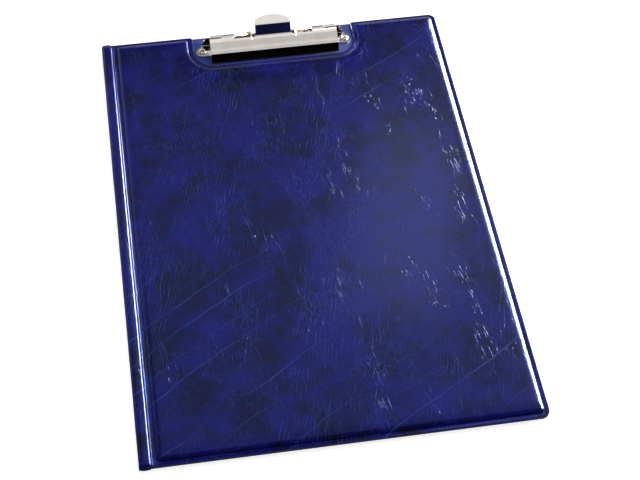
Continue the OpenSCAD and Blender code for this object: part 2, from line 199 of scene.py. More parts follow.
def skin(bm, outline, stations):
    """Rings of an outline, one for each (inset, z), joined in turn; returns the edges of each."""
    # they are joined one above another, since rings in one plane would be joined crosswise
    loops = [ring(bm, outline(inset), k) for k, (inset, _) in enumerate(stations)]
    for a, b in zip(loops, loops[1:]):
        bmesh.ops.bridge_loops(bm, edges=a + b)
    for loop, (_, z) in zip(loops, stations):
        for v in {v for e in loop for v in e.verts}:
            v.co.z = z
    return loops


def plain_corners(inset):
    """Corners of a cover's outline without the notch, set in from its edge."""
    free_r = max(corner_r - inset, panel_r)
    spine_r = max(min(inset, panel_r), spine_corner_r)
    left, right, bottom, top = weld_x + inset, free_x - inset, bottom_y + inset, top_y - inset
    return [(left, bottom, spine_r), (right, bottom, free_r), (right, top, free_r), (left, top, spine_r)]


def finish_piece(name, bm, material, body, sharp=50):
    """Turns a mesh that is in millimetres into a shaded piece that rides on a body."""
    bmesh.ops.recalc_face_normals(bm, faces=bm.faces)
    bmesh.ops.scale(bm, verts=bm.verts, vec=(MM,) * 3)
    mesh = bpy.data.meshes.new(name)
    bm.to_mesh(mesh)
    bm.free()
    mesh.materials.append(material)
    mesh.shade_smooth()
    mesh.set_sharp_from_angle(angle=math.radians(sharp))
    made = bpy.data.objects.new(name, mesh)
    bpy.context.scene.collection.objects.link(made)
    if body:
        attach(made, body)
    return made


marbled_foil = marbled_foil_material()
flange_z = back_high.z - outer_foil_t

bm = bmesh.new()
stations = []
for k in range(skin_steps + 1):
    turn = math.radians(90 * (1 - k / skin_steps))
    stations.append((seam_w + wrap_r - wrap_r * math.cos(turn), wrap_r * (1 - math.sin(turn))))
stations += [
    (seam_w, flange_z - flange_r), (seam_w - flange_r, flange_z),
    (edge_soft, flange_z), (0, flange_z + edge_soft),
    (0, flange_z + outer_foil_t), (seam_w + outer_foil_t, flange_z + outer_foil_t),
    (seam_w + outer_foil_t, wrap_r), (seam_w + wrap_r, outer_foil_t)]
loops = skin(bm, plain_corners, stations)

# the foil is punched for the flat heads of the two rivets
head_r = 4
head_play = 0.1
hole_steps = 32
rivet_feet = [sum(box_mm(side + "_rivet"), Vector()) / 2 for side in ("left", "right")]
rivet_holes = []
for z, loop in ((0, loops[0]), (outer_foil_t, loops[-1])):
    holes = []
    for foot in rivet_feet:
        hole = bmesh.ops.create_circle(bm, segments=hole_steps, radius=head_r + head_play,
                                       matrix=Matrix.Translation((foot.x, foot.y, z)))["verts"]
        holes.append([e for e in bm.edges if all(v in hole for v in e.verts)])
    rivet_holes.append(holes)
    bmesh.ops.triangle_fill(bm, edges=loop + holes[0] + holes[1], use_beauty=True)
for lower, upper in zip(*rivet_holes):
    bmesh.ops.bridge_loops(bm, edges=lower + upper)
back_foil = finish_piece("back_cover_foil", bm, marbled_foil, "back_cover")
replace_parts(back_foil, "back_outer_foil")


# ---- Back cover: board and inner foil ----
# A sheet of greyboard stiffens the cover. Smooth PVC foil, plain blue, closes the inside and is
# welded to the outer foil all round, with a shallow groove where the welding tool pressed.

groove_w = 0.7
groove_deep = 0.12


def greyboard_material():
    # Pressed recycled fibre: a dull grey brown with darker flecks and a fuzzy surface.
    made, tree, shader = new_material("greyboard", Roughness=0.92)
    place = add(tree, "ShaderNodeTexCoord", {}).outputs["Object"]
    fibre = add(tree, "ShaderNodeTexNoise", {"Vector": place, "Scale": every(0.8), "Detail": 4.0})
    fleck = add(tree, "ShaderNodeTexVoronoi", {"Vector": place, "Scale": every(2.5)}).outputs["Distance"]
    fleck = add(tree, "ShaderNodeMapRange", {0: fleck, 1: 0.05, 2: 0.16, 3: 0.5, 4: 0.0}).outputs[0]
    pulp = add(tree, "ShaderNodeMix", {0: fibre.outputs["Fac"], 6: paint("#7f7a70"), 7: paint("#a39d90")},
               data_type="RGBA").outputs[2]
    colour = add(tree, "ShaderNodeMix", {0: fleck, 6: pulp, 7: paint("#4d4942")}, data_type="RGBA").outputs[2]
    tree.links.new(colour, shader.inputs["Base Color"])
    bump = add(tree, "ShaderNodeBump", {"Height": fibre.outputs["Fac"], "Distance": 0.05 * MM})
    tree.links.new(bump.outputs[0], shader.inputs["Normal"])
    return made


def smooth_foil_material(name, deep, light):
    # Calendered PVC foil: one even blue, a faint pebble grain and a soft gloss.
    made, tree, shader = new_material(name, Roughness=0.3, Specular_IOR_Level=0.35)
    place = add(tree, "ShaderNodeTexCoord", {}).outputs["Object"]
    tone = add(tree, "ShaderNodeTexNoise", {"Vector": place, "Scale": every(18), "Detail": 3.0})
    colour = add(tree, "ShaderNodeMix", {0: tone.outputs["Fac"], 6: paint(deep), 7: paint(light)},
                 data_type="RGBA").outputs[2]
    tree.links.new(colour, shader.inputs["Base Color"])
    pebble = add(tree, "ShaderNodeTexVoronoi", {"Vector": place, "Scale": every(0.7)}, feature="SMOOTH_F1")
    bump = add(tree, "ShaderNodeBump", {"Height": pebble.outputs["Distance"], "Distance": 0.02 * MM})
    tree.links.new(bump.outputs[0], shader.inputs["Normal"])
    return made


greyboard = greyboard_material()
for node in ("back_board", "front_board"):
    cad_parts[node].data.materials.clear()
    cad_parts[node].data.materials.append(greyboard)

smooth_foil = smooth_foil_material("smooth_pvc_foil", "#202c6c", "#2a3a80")


def lining(name, corners, low, high, up, body):
    """Inner foil from its welded side to its open side, with the weld's groove in the open side."""
    near, far = (low, high) if up else (high, low)
    step = 1 if up else -1
    bm = bmesh.new()
    loops = skin(bm, corners, [
        (0, near), (0, far - step * edge_soft), (edge_soft, far), (seam_w - groove_w, far),
        (seam_w - groove_w / 2, far - step * groove_deep), (seam_w + groove_w / 2, far - step * groove_deep),
        (seam_w + groove_w, far)])
    bmesh.ops.edgeloop_fill(bm, edges=loops[0])
    bmesh.ops.edgeloop_fill(bm, edges=loops[-1])
    return finish_piece(name, bm, smooth_foil, body, sharp=60)


inner_low, inner_high = box_mm("back_inner_foil")
back_lining = lining("back_cover_lining", plain_corners, inner_low.z, inner_high.z, True, "back_cover")
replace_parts(back_lining, "back_inner_foil")


# ---- Spine ----
# The two covers hang on one strip of the same foil, rolled loosely round from weld to weld and
# lined with the smooth foil.

foil_low, foil_high = box_mm("front_outer_foil")
roll_x = box_mm("spine_foil_back")[0].x
hinge_z = foil_high.z / 2
front_weld_z = foil_low.z + outer_foil_t
inner_foil_t = 0.3
layer_gap = 0.02
spine_bulge = 1.5
spine_fullness = 1.4
weld_lean = 1 / 12
roll_steps = 16
roll_stations = 64
ripple = 0.1
ripple_l = 22
ripple_across = 0.3
ripple_sink = 0.08
weld_press = 0.15
weld_press_w = 0.5


def roll(bm, inset):
    """The roll's section, a wire from the back weld round to the front weld, set in by inset."""
    reach = weld_x - roll_x - inset
    points = []
    for start_z, side in ((flange_z + inset, -1), (front_weld_z - inset, 1)):
        start = Vector((weld_x, 0, start_z))
        leaving = start + Vector((-reach * weld_lean, 0, side * spine_bulge))
        turning = start + Vector((-reach, 0, side * spine_fullness * spine_bulge))
        outermost = Vector((weld_x - reach, 0, hinge_z))
        half = interpolate_bezier(start, leaving, turning, outermost, roll_steps)
        points += half if side < 0 else half[-2::-1]
    verts = [bm.verts.new(p) for p in points]
    return [bm.edges.new(pair) for pair in zip(verts, verts[1:])]


def spine_strip(name, inset, thickness, material):
    """One foil of the spine, as long as the covers, with the weld pressed in near both ends."""
    bm = bmesh.new()
    edges = roll(bm, inset)
    bmesh.ops.translate(bm, verts=bm.verts, vec=(0, bottom_y, 0))
    bmesh.ops.extrude_edge_only(bm, edges=edges)
    far = bm.verts[:][len(edges) + 1:]
    bmesh.ops.translate(bm, verts=far, vec=(0, top_y - bottom_y, 0))
    press_y = top_y - seam_w - weld_press_w
    cuts = [bottom_y + (top_y - bottom_y) * k / roll_stations for k in range(1, roll_stations)]
    cuts += [side * (press_y + off) for side in (-1, 1) for off in (weld_press_w, 0, -weld_press_w)]
    for y in cuts:
        bmesh.ops.bisect_plane(bm, geom=bm.verts[:] + bm.edges[:] + bm.faces[:],
                               plane_co=(0, y, 0), plane_no=(0, 1, 0))
    bmesh.ops.recalc_face_normals(bm, faces=bm.faces)
    bm.normal_update()
    # the foil ripples gently where it is free of the weld, and is pressed in across its two ends
    for v in bm.verts:
        free = min(1, (weld_x - v.co.x) / seam_w)
        spot = Vector((ripple_across * v.co.x, v.co.y / ripple_l, ripple_across * v.co.z))
        wave = ripple * noise.noise(spot) - ripple_sink
        if abs(abs(v.co.y) - press_y) < weld_press_w / 2:
            wave -= weld_press
        outward = Vector((v.co.x - weld_x, 0, v.co.z - hinge_z)).normalized()
        v.co += outward * free * wave
    made = finish_piece(name, bm, material, None)
    wall = made.modifiers.new("wall", "SOLIDIFY")
    wall.thickness = thickness * MM
    wall.offset = -1
    wall.use_even_offset = True
    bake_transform(made)
    return made


spine_foil = spine_strip("spine_foil", 0, outer_foil_t, marbled_foil)
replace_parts(spine_foil, "spine_foil_back", "spine_foil_front")
spine_lining = spine_strip("spine_lining", outer_foil_t + layer_gap, inner_foil_t, smooth_foil)
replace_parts(spine_lining, "spine_lining_back", "spine_lining_front")


# ---- Front cover: padded foil, foam and board ----
# The front has thin foam over its board, so that its foil rises from the weld in a soft shoulder.
# A notch in its top edge lets the clip through. The weld's outer rim stands up as a fine bead.

pin_low, pin_high = box_mm("hinge_pin")
pin_centre = (pin_low + pin_high) / 2
clip_x = pin_centre.x
notch_w = 109
notch_depth = 28
notch_mouth_r = 2
shoulder_w = 9
notch_round = notch_depth - seam_w - shoulder_w - panel_r
shoulder_power = 3
bead_w = 0.7
bead_h = 0.22
fold_drop = 1.1
grid_step = 8
crown = 0.35
across_power = 4
up_power = 6
uneven_share = 0.25
uneven_l = 60
foam_play = 0.12


def notched_corners(inset):
    """Corners of the front cover's outline, with the notch, set in from its edge."""
    half, mouth_r = notch_w / 2 + inset, max(notch_mouth_r - inset, panel_r / 2)
    floor, top = top_y - notch_depth - inset, top_y - inset
    plain = plain_corners(inset)
    notch = [(clip_x + half, top, mouth_r), (clip_x + half, floor, notch_round + inset),
             (clip_x - half, floor, notch_round + inset), (clip_x - half, top, mouth_r)]
    return plain[:3] + notch + plain[3:]


def shoulder(share):
    """Share of the foil's rise, across its shoulder."""
    return (1 - (1 - share) ** shoulder_power) ** (1 / shoulder_power)


def swell(bm, faces, rise):
    """Cuts a flat panel into a grid and lifts it into a low cushion with slight unevenness."""
    inside = {v for f in faces for v in f.verts}
    low = Vector((min(v.co.x for v in inside), min(v.co.y for v in inside)))
    high = Vector((max(v.co.x for v in inside), max(v.co.y for v in inside)))
    rim = set(inside)
    geom = list(inside) + list({e for f in faces for e in f.edges}) + list(faces)
    for axis in (0, 1):
        count = round((high[axis] - low[axis]) / grid_step)
        for k in range(1, count):
            at = [0, 0, 0]
            at[axis] = low[axis] + (high[axis] - low[axis]) * k / count
            normal = [1 - axis, axis, 0]
            geom = bmesh.ops.bisect_plane(bm, geom=geom, plane_co=at, plane_no=normal)["geom"]
    edge_verts = {v for v in geom if isinstance(v, bmesh.types.BMVert)
                  and any(f not in geom for f in v.link_faces)} | rim
    for v in geom:
        if isinstance(v, bmesh.types.BMVert) and v not in edge_verts:
            across = (v.co.x - low.x) / (high.x - low.x) * 2 - 1
            up = (v.co.y - low.y) / (high.y - low.y) * 2 - 1
            uneven = uneven_share * noise.noise(Vector((v.co.x / uneven_l, v.co.y / uneven_l, 3)))
            v.co.z += rise * ((1 - across ** across_power) * (1 - up ** up_power) + uneven)


front_rise = foil_high.z - front_weld_z
bm = bmesh.new()
inside_top = foil_high.z - outer_foil_t
stations = [
    (seam_w + shoulder_w, inside_top), (seam_w + 2 * outer_foil_t, inside_top - fold_drop),
    (seam_w + outer_foil_t, foil_low.z),
    (0, foil_low.z), (0, front_weld_z + bead_h / 2), (bead_w / 4, front_weld_z + bead_h),
    (bead_w * 3 / 4, front_weld_z + bead_h), (bead_w, front_weld_z), (seam_w - groove_w, front_weld_z),
    (seam_w - groove_w / 2, front_weld_z - groove_deep)]
for k in range(skin_steps + 1):
    share = (k / skin_steps) ** 2
    stations.append((seam_w + share * shoulder_w,
                     front_weld_z - groove_deep + (front_rise + groove_deep) * shoulder(share)))
loops = skin(bm, notched_corners, stations)
bmesh.ops.edgeloop_fill(bm, edges=loops[0])
panel = bmesh.ops.edgeloop_fill(bm, edges=loops[-1])["faces"]
swell(bm, panel, crown)
front_foil = finish_piece("front_cover_foil", bm, marbled_foil, "front_cover")
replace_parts(front_foil, "front_outer_foil")


def foam_material():
    # Thin open-cell polyether foam: off-white, matt, with pores under half a millimetre,
    # drawn a little coarser, with painted shade in their hollows so that they show.
    made, tree, shader = new_material("polyether_foam", Roughness=0.95)
    place = add(tree, "ShaderNodeTexCoord", {}).outputs["Object"]
    pore = add(tree, "ShaderNodeTexVoronoi", {"Vector": place, "Scale": every(0.8)}).outputs["Distance"]
    # painted shade: the colour darkens towards each pore's middle, where the bump sinks into a pit
    colour = add(tree, "ShaderNodeMix", {0: pore, 6: paint("#b9b7b0"), 7: paint("#e2e0d8")},
                 data_type="RGBA").outputs[2]
    tree.links.new(colour, shader.inputs["Base Color"])
    bump = add(tree, "ShaderNodeBump", {"Height": pore, "Distance": 0.2 * MM})
    tree.links.new(bump.outputs[0], shader.inputs["Normal"])
    return made


foam_low = box_mm("front_padding")[0]
foam_inset = foam_low.x - weld_x
bm = bmesh.new()
stations = [(foam_inset, foam_low.z)]
for k in range(skin_steps + 1):
    inset = foam_inset + (seam_w + shoulder_w - foam_inset) * (k / skin_steps) ** 2
    share = (inset - seam_w - outer_foil_t) / (shoulder_w - outer_foil_t)
    stations.append((inset, foil_low.z + front_rise * shoulder(share) - 2 * foam_play))
loops = skin(bm, notched_corners, stations)
bmesh.ops.edgeloop_fill(bm, edges=loops[0])
bmesh.ops.edgeloop_fill(bm, edges=loops[-1])
foam = finish_piece("front_cover_foam", bm, foam_material(), "front_cover")
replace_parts(foam, "front_padding")


# ---- Front cover: inner foil and pocket ----
# The inside of the front cover is the same smooth foil. A slightly lighter sheet, welded along
# three sides, makes a pocket for loose papers, with a thumb cut in the middle of its mouth.

lining_low, lining_high = box_mm("front_inner_foil")
front_lining = lining("front_cover_lining", notched_corners, lining_low.z, lining_high.z, False,
                      "front_cover")
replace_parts(front_lining, "front_inner_foil")

pocket_cut_r = 14
pocket_cut_steps = 24
pocket_weld_w = 2
pocket_groove_w = 0.4
pocket_groove_deep = 0.06
pocket_low, pocket_high = box_mm("inner_pocket")
mouth_x = (weld_x + free_x) / 2
bm = bmesh.new()
cut_start = bm.verts.new((mouth_x - pocket_cut_r, pocket_high.y, pocket_low.z))
bmesh.ops.spin(bm, geom=[cut_start], cent=(mouth_x, pocket_high.y, 0), axis=(0, 0, 1), angle=math.pi,
               steps=pocket_cut_steps)
bm.verts.ensure_lookup_table()
cut_end = bm.verts[-1]
pocket_corners = [bm.verts.new((x, y, pocket_low.z)) for x, y in (
    (pocket_high.x, pocket_high.y), (pocket_high.x, pocket_low.y),
    (pocket_low.x, pocket_low.y), (pocket_low.x, pocket_high.y))]
for pair in zip([cut_end] + pocket_corners, pocket_corners + [cut_start]):
    bm.edges.new(pair)
sheet = bmesh.ops.edgeloop_fill(bm, edges=bm.edges[:])["faces"]
bmesh.ops.inset_region(bm, faces=sheet, thickness=pocket_weld_w, use_even_offset=True)
bmesh.ops.inset_region(bm, faces=sheet, thickness=pocket_groove_w, depth=pocket_groove_deep,
                       use_even_offset=True)
pocket_foil = smooth_foil_material("light_blue_pvc_foil", "#2c3c92", "#3a4ca4")
pocket = finish_piece("front_cover_pocket", bm, pocket_foil, "front_cover")
pocket.data.shade_flat()
wall = pocket.modifiers.new("wall", "SOLIDIFY")
wall.thickness = (pocket_high.z - pocket_low.z) * MM
wall.offset = 1
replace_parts(pocket, "inner_pocket")


# ---- Clip: base ----
# The base is one blank of nickel-plated sheet steel: a floor with a round ear at each end, bent up
# into a rear wall that ends in two sloping lugs, and rolled over the pin into a knuckle on each side.

sheet_t = 0.8
pin_h = pin_centre.z - inner_high.z
bore_r = 1.15
roll_r = bore_r + sheet_t / 2
jaw_w = 86.4
base_depth = 12.6
wall_h = 4.9
lug_h = 6.8
lug_slope = 3
ear_x = rivet_feet[1].x - clip_x
lug_x = ear_x + sheet_t / 2
knuckle_gap = 0.4
base_knuckle_w = 7.2
base_knuckle_x = jaw_w / 2 - sheet_t
base_knuckle_turn = 310
jaw_knuckle_x = base_knuckle_x - base_knuckle_w - knuckle_gap
knuckle_steps = 28
rivet_setback = 4.5
ear_r = 4.3
blank_r = 0.8
ear_foot_r = 0.4
lug_foot_r = 0.2
sharp_r = 0.02
sheared_r = 0.16
floor_z = sheet_t / 2 - pin_h
merge_gap = 0.001


def nickel_material():
    # Bright nickel over steel sheet: a warm mirror, faintly clouded by handling and fine scratches.
    made, tree, shader = new_material("bright_nickel_on_steel", Metallic=1.0)
    place = add(tree, "ShaderNodeTexCoord", {}).outputs["Object"]
    cloud = add(tree, "ShaderNodeTexNoise", {"Vector": place, "Scale": every(9), "Detail": 4.0})
    cloud = cloud.outputs["Fac"]
    dull = add(tree, "ShaderNodeMapRange", {0: cloud, 1: 0.3, 2: 0.75, 3: 0.07, 4: 0.1}).outputs[0]
    tree.links.new(dull, shader.inputs["Roughness"])
    tint = add(tree, "ShaderNodeMix", {0: cloud, 6: paint("#d6cfc9"), 7: paint("#e6e1dc")},
               data_type="RGBA").outputs[2]
    tree.links.new(tint, shader.inputs["Base Color"])
    drawn = add(tree, "ShaderNodeMapping", {"Vector": place, "Scale": (0.04, 1, 1)}).outputs[0]
    scratch = add(tree, "ShaderNodeTexNoise", {"Vector": drawn, "Scale": every(0.25), "Detail": 2.0})
    bump = add(tree, "ShaderNodeBump",
               {"Height": scratch.outputs["Fac"], "Distance": 0.002 * MM, "Strength": 0.5})
    tree.links.new(bump.outputs[0], shader.inputs["Normal"])
    return made


def rows(bm, y, z, x_from, x_to):
    """Edges along X at one y and about one height, between two distances from the middle."""
    same, near = 0.01, 0.3
    found = []
    for e in bm.edges:
        a, b = (v.co for v in e.verts)
        level = all(abs(p.y - y) < same and abs(p.z - z) < near for p in (a, b))
        if level and abs(a.x - b.x) > same and x_from <= abs(a.x + b.x) / 2 < x_to:
            found.append(e)
    return found


def pull(bm, edges, vec):
    """Extends a sheet from some of its edges and returns the far edges."""
    made = bmesh.ops.extrude_edge_only(bm, edges=edges)["geom"]
    far = {g for g in made if isinstance(g, bmesh.types.BMVert)}
    bmesh.ops.translate(bm, verts=list(far), vec=vec)
    return [g for g in made if isinstance(g, bmesh.types.BMEdge) and far.issuperset(g.verts)]


def cut_across(bm, axis, places):
    """Cuts the whole sheet square to an axis at each place."""
    normal = [0, 0, 0]
    normal[axis] = 1
    for place in places:
        at = [0, 0, 0]
        at[axis] = place
        bmesh.ops.bisect_plane(bm, geom=bm.verts[:] + bm.edges[:] + bm.faces[:], plane_co=at, plane_no=normal)


def both(*places):
    """The places and their mirror images."""
    return [side * place for place in places for side in (-1, 1)]


def steel_sheet(made):
    """Gives a bent sheet its thickness and softens its sheared edges."""
    wall = made.modifiers.new("wall", "SOLIDIFY")
    wall.thickness = sheet_t * MM
    wall.offset = 0
    wall.use_even_offset = True
    wall.use_quality_normals = True
    edge = made.modifiers.new("edge", "BEVEL")
    edge.width = sheared_r * MM
    edge.segments = 3
    edge.limit_method = "ANGLE"
    edge.angle_limit = math.radians(50)
    edge.harden_normals = True
    return made


nickel = nickel_material()

# the flat blank, outlined from the middle of its front round its right ear, then mirrored
bm = bmesh.new()
bend_y = roll_r - sheet_t
ear_front, ear_rear, ear_end = -rivet_setback - ear_r, -rivet_setback + ear_r, ear_x + ear_r
ear_round = ear_r - 0.05
right_half = [
    (jaw_w / 2, -base_depth, blank_r), (jaw_w / 2, ear_front, ear_foot_r),
    (ear_end, ear_front, ear_round), (ear_end, ear_rear, ear_round),
    (lug_x, ear_rear, lug_foot_r), (lug_x, bend_y, sharp_r)]
left_half = [(-x, y, radius) for x, y, radius in reversed(right_half)]
blank = ring(bm, right_half + left_half, floor_z)
bmesh.ops.edgeloop_fill(bm, edges=blank)
cut_across(bm, 0, both(jaw_knuckle_x, base_knuckle_x - base_knuckle_w, base_knuckle_x))

# its rear is bent up into the wall, with a sloping lug at each end
foot_z = floor_z + sheet_t
lug_rise = lug_h - pin_h - foot_z
bend = rows(bm, bend_y, floor_z, 0, lug_x)
bmesh.ops.spin(bm, geom=bend, cent=(0, bend_y, foot_z), axis=(1, 0, 0), angle=math.pi / 2, steps=6)
pull(bm, rows(bm, roll_r, foot_z, 0, lug_x), (0, 0, wall_h - pin_h - foot_z))
pull(bm, rows(bm, roll_r, wall_h - pin_h, jaw_knuckle_x, lug_x), (0, 0, lug_h - wall_h))
for v in bm.verts:
    if v.co.z > foot_z + 0.01 and abs(v.co.x) > base_knuckle_x + 0.1:
        v.co.x -= math.copysign(lug_slope * (v.co.z - foot_z) / lug_rise, v.co.x)

# inside the lugs it is drawn on and rolled over the pin
top = rows(bm, roll_r, lug_h - pin_h, base_knuckle_x - base_knuckle_w, base_knuckle_x)
rise = pull(bm, top, (0, 0, pin_h - lug_h))
bmesh.ops.spin(bm, geom=rise, cent=(0, 0, 0), axis=(1, 0, 0), angle=math.radians(base_knuckle_turn),
               steps=knuckle_steps)
bmesh.ops.remove_doubles(bm, verts=bm.verts, dist=merge_gap)
bmesh.ops.translate(bm, verts=bm.verts, vec=pin_centre)
clip_base = finish_piece("clip_base_plate", bm, nickel, "back_cover", sharp=40)
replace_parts(steel_sheet(clip_base), "clip_base")


# ---- Clip: rivets and hinge pin ----
# Two semi-tubular rivets hold the base: a flat head under the cover, and above each ear the hollow
# end rolled outwards into a ring. The pin is a steel rod, peened at both ends.

rivet_r = 1.9
ring_r = 2.9
bore_floor_z = 1.4
ring_steps = 10
turn_steps = 40


def lathe(bm, profile, axis, centre):
    """Turns a profile of (radius, distance along the axis) about an axis through a centre."""
    across = Vector((0, 1, 0)) if axis.x else Vector((1, 0, 0))
    verts = [bm.verts.new(centre + across * radius + axis * far) for radius, far in profile]
    wire = [bm.edges.new(pair) for pair in zip(verts, verts[1:])]
    bmesh.ops.spin(bm, geom=verts + wire, cent=centre, axis=axis, angle=math.tau, steps=turn_steps,
                   use_merge=True)
    bmesh.ops.remove_doubles(bm, verts=bm.verts, dist=merge_gap)


head_t = outer_foil_t + head_play
ear_top = inner_high.z + sheet_t
tube_r = (ring_r - rivet_r / 2) / 2
roll_profile = [(rivet_r / 2 + tube_r + tube_r * math.cos(a), ear_top + tube_r * math.sin(a))
                for a in (math.pi * k / ring_steps for k in range(ring_steps + 1))]
head_profile = [(0, 0), (head_r - 0.2, 0), (head_r, 0.15), (head_r, head_t - 0.1), (head_r - 0.1, head_t)]
bore_profile = [(rivet_r / 2, bore_floor_z + 0.2), (0, bore_floor_z)]
rivet_profile = head_profile + [(rivet_r, head_t), (rivet_r, ear_top)] + roll_profile + bore_profile
for side, foot in zip(("left", "right"), rivet_feet):
    bm = bmesh.new()
    lathe(bm, rivet_profile, Vector((0, 0, 1)), Vector((foot.x, foot.y, 0)))
    rivet = finish_piece(side + "_tubular_rivet", bm, nickel, "back_cover", sharp=60)
    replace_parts(rivet, side + "_rivet")

pin_r = 1.1
peen_r = 1.5
pin_end = pin_high.x - clip_x
peened_end = [(0, 0), (peen_r - 0.95, 0), (peen_r - 0.3, 0.15), (peen_r, 0.38), (pin_r, 0.4)]
pin_profile = [(radius, far - pin_end) for radius, far in peened_end]
pin_profile += [(radius, -far) for radius, far in reversed(pin_profile)]
bm = bmesh.new()
lathe(bm, pin_profile, Vector((1, 0, 0)), pin_centre)
pin = finish_piece("clip_hinge_pin", bm, nickel, "back_cover", sharp=45)
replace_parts(pin, "hinge_pin")


# ---- Clip: torsion springs ----
# Two coils of hard-drawn spring wire sit on the pin. One leg of each lies under the rear wall, the
# other presses on the jaw.

wire_d = 0.8
coil_r = 2.15
coil_l = 11.8
coil_turns = 13
jaw_knuckle_w = 8
coil_outer_x = jaw_knuckle_x - jaw_knuckle_w - knuckle_gap
jaw_leg = 6
knee_drop = 0.1
toe_drop = 0.87
base_leg = 5.5
wire_sides = 10
coil_steps = 20


def spring_wire_material():
    # Hard-drawn carbon steel wire: bright, slightly yellow, with fine die lines.
    made, tree, shader = new_material("drawn_spring_wire", Metallic=1.0, Roughness=0.18)
    place = add(tree, "ShaderNodeTexCoord", {}).outputs["Object"]
    tone = add(tree, "ShaderNodeTexNoise", {"Vector": place, "Scale": every(1.5), "Detail": 3.0})
    colour = add(tree, "ShaderNodeMix", {0: tone.outputs["Fac"], 6: paint("#c6b9a2"), 7: paint("#eee6d4")},
                 data_type="RGBA").outputs[2]
    tree.links.new(colour, shader.inputs["Base Color"])
    bump = add(tree, "ShaderNodeBump", {"Height": tone.outputs["Fac"], "Distance": 0.01 * MM})
    tree.links.new(bump.outputs[0], shader.inputs["Normal"])
    return made


def draw_out(bm, faces, vec):
    """Extends a wire from its end face and returns the new end face."""
    out = bmesh.ops.extrude_face_region(bm, geom=faces)["geom"]
    bmesh.ops.delete(bm, geom=faces, context="FACES_ONLY")
    bmesh.ops.translate(bm, verts=[g for g in out if isinstance(g, bmesh.types.BMVert)], vec=vec)
    return [g for g in out if isinstance(g, bmesh.types.BMFace)]


spring_wire = spring_wire_material()
wound_turns = coil_turns - 0.75
for side, name in ((-1, "left"), (1, "right")):
    bm = bmesh.new()
    inner_x = side * (coil_outer_x - coil_l + wire_d / 2)
    outer_x = side * (coil_outer_x - wire_d / 2)
    # the wire's end face, on top of the coil, looking forward over the jaw
    place = Matrix.Translation((inner_x, 0, coil_r)) @ Matrix.Rotation(math.pi / 2, 4, "X")
    bmesh.ops.create_circle(bm, cap_ends=True, segments=wire_sides, radius=wire_d / 2, matrix=place)
    steps = int(coil_steps * wound_turns)
    wound = bmesh.ops.spin(bm, geom=bm.faces[:], cent=(0, 0, 0), axis=(1, 0, 0),
                           angle=-math.tau * wound_turns, steps=steps,
                           dvec=((outer_x - inner_x) / steps, 0, 0))["geom_last"]
    draw_out(bm, [g for g in wound if isinstance(g, bmesh.types.BMFace)], (0, 0.3, -base_leg))
    wire_end = [f for f in bm.faces if len(f.verts) == wire_sides
                and abs(f.calc_center_median().x - inner_x) < 0.01 and f.calc_center_median().z > 0]
    for drop in (knee_drop, toe_drop):
        wire_end = draw_out(bm, wire_end, (0, -jaw_leg / 2, -drop))
    bmesh.ops.translate(bm, verts=bm.verts, vec=pin_centre)
    spring = finish_piece(name + "_spring", bm, spring_wire, None, sharp=60)
    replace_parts(spring, name + "_torsion_spring")
    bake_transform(spring)


# ---- Clip: jaw ----
# The jaw is a second blank of the same sheet: an arched plate with a steep lip that bears on the
# paper, rolled round the pin at two knuckles, with a riser and a half-round thumb plate at the rear.

jaw_reach = 12.8
crease_drop = 2.5
crease_r = 0.6
lip_reach = 3.3
lip_gap = 0.7
jaw_knuckle_turn = 305
move_gap = 0.3
tab_w = 24
riser_h = 8.45
riser_lean = 2.4
tab_slope = 20
spring_slot = coil_r + 1.5 * wire_d + move_gap
knuckle_slot = bore_r + sheet_t + move_gap
riser_setback = 2.4
tab_run = 3
tab_steps = 14
tab_tip = 0.05
tuck = 0.05
arch_top = roll_r - tuck
arch_steps = 20

# the plate's section, from the pin forward over the crease to the lip, drawn out to its width
bm = bmesh.new()
crease = Vector((0, -jaw_reach, -crease_drop))
arch = interpolate_bezier(Vector((0, 0, arch_top)), Vector((0, -jaw_reach / 2, arch_top)),
                          crease + Vector((0, jaw_reach / 4, crease_drop / 2)), crease, arch_steps)
lip_foot = Vector((0, -jaw_reach - lip_reach, lip_gap - pin_h))
verts = [bm.verts.new(p) for p in arch + [lip_foot]]
wire = [bm.edges.new(pair) for pair in zip(verts, verts[1:])]
bmesh.ops.bevel(bm, geom=[verts[-2]], offset=crease_r, offset_type="OFFSET", segments=4, profile=0.5,
                affect="VERTICES", material=-1)
bmesh.ops.translate(bm, verts=bm.verts, vec=(-jaw_w / 2, 0, 0))
pull(bm, bm.edges[:], (jaw_w, 0, 0))

# its rear is slotted for the springs and for the base's knuckles, and what is left is rolled
slot_inner, slot_outer = tab_w / 2 + knuckle_gap, coil_outer_x + knuckle_gap / 2
end_slot = jaw_knuckle_x + knuckle_gap / 2
cut_across(bm, 0, both(tab_w / 2, slot_inner, slot_outer, jaw_knuckle_x - jaw_knuckle_w,
                       jaw_knuckle_x, end_slot))
cut_across(bm, 1, (-spring_slot, -riser_setback, -knuckle_slot))
slots = []
for f in bm.faces:
    x, y = abs(f.calc_center_median().x), f.calc_center_median().y
    over_spring = slot_inner < x < slot_outer and y > -spring_slot
    over_knuckle = x > end_slot and y > -knuckle_slot
    behind_riser = x < slot_inner and y > -riser_setback
    if over_spring or over_knuckle or behind_riser:
        slots.append(f)
bmesh.ops.delete(bm, geom=slots, context="FACES")
rolled = rows(bm, 0, arch_top, jaw_knuckle_x - jaw_knuckle_w, jaw_knuckle_x)
bmesh.ops.spin(bm, geom=rolled, cent=(0, 0, 0), axis=(1, 0, 0), angle=-math.radians(jaw_knuckle_turn),
               steps=knuckle_steps)

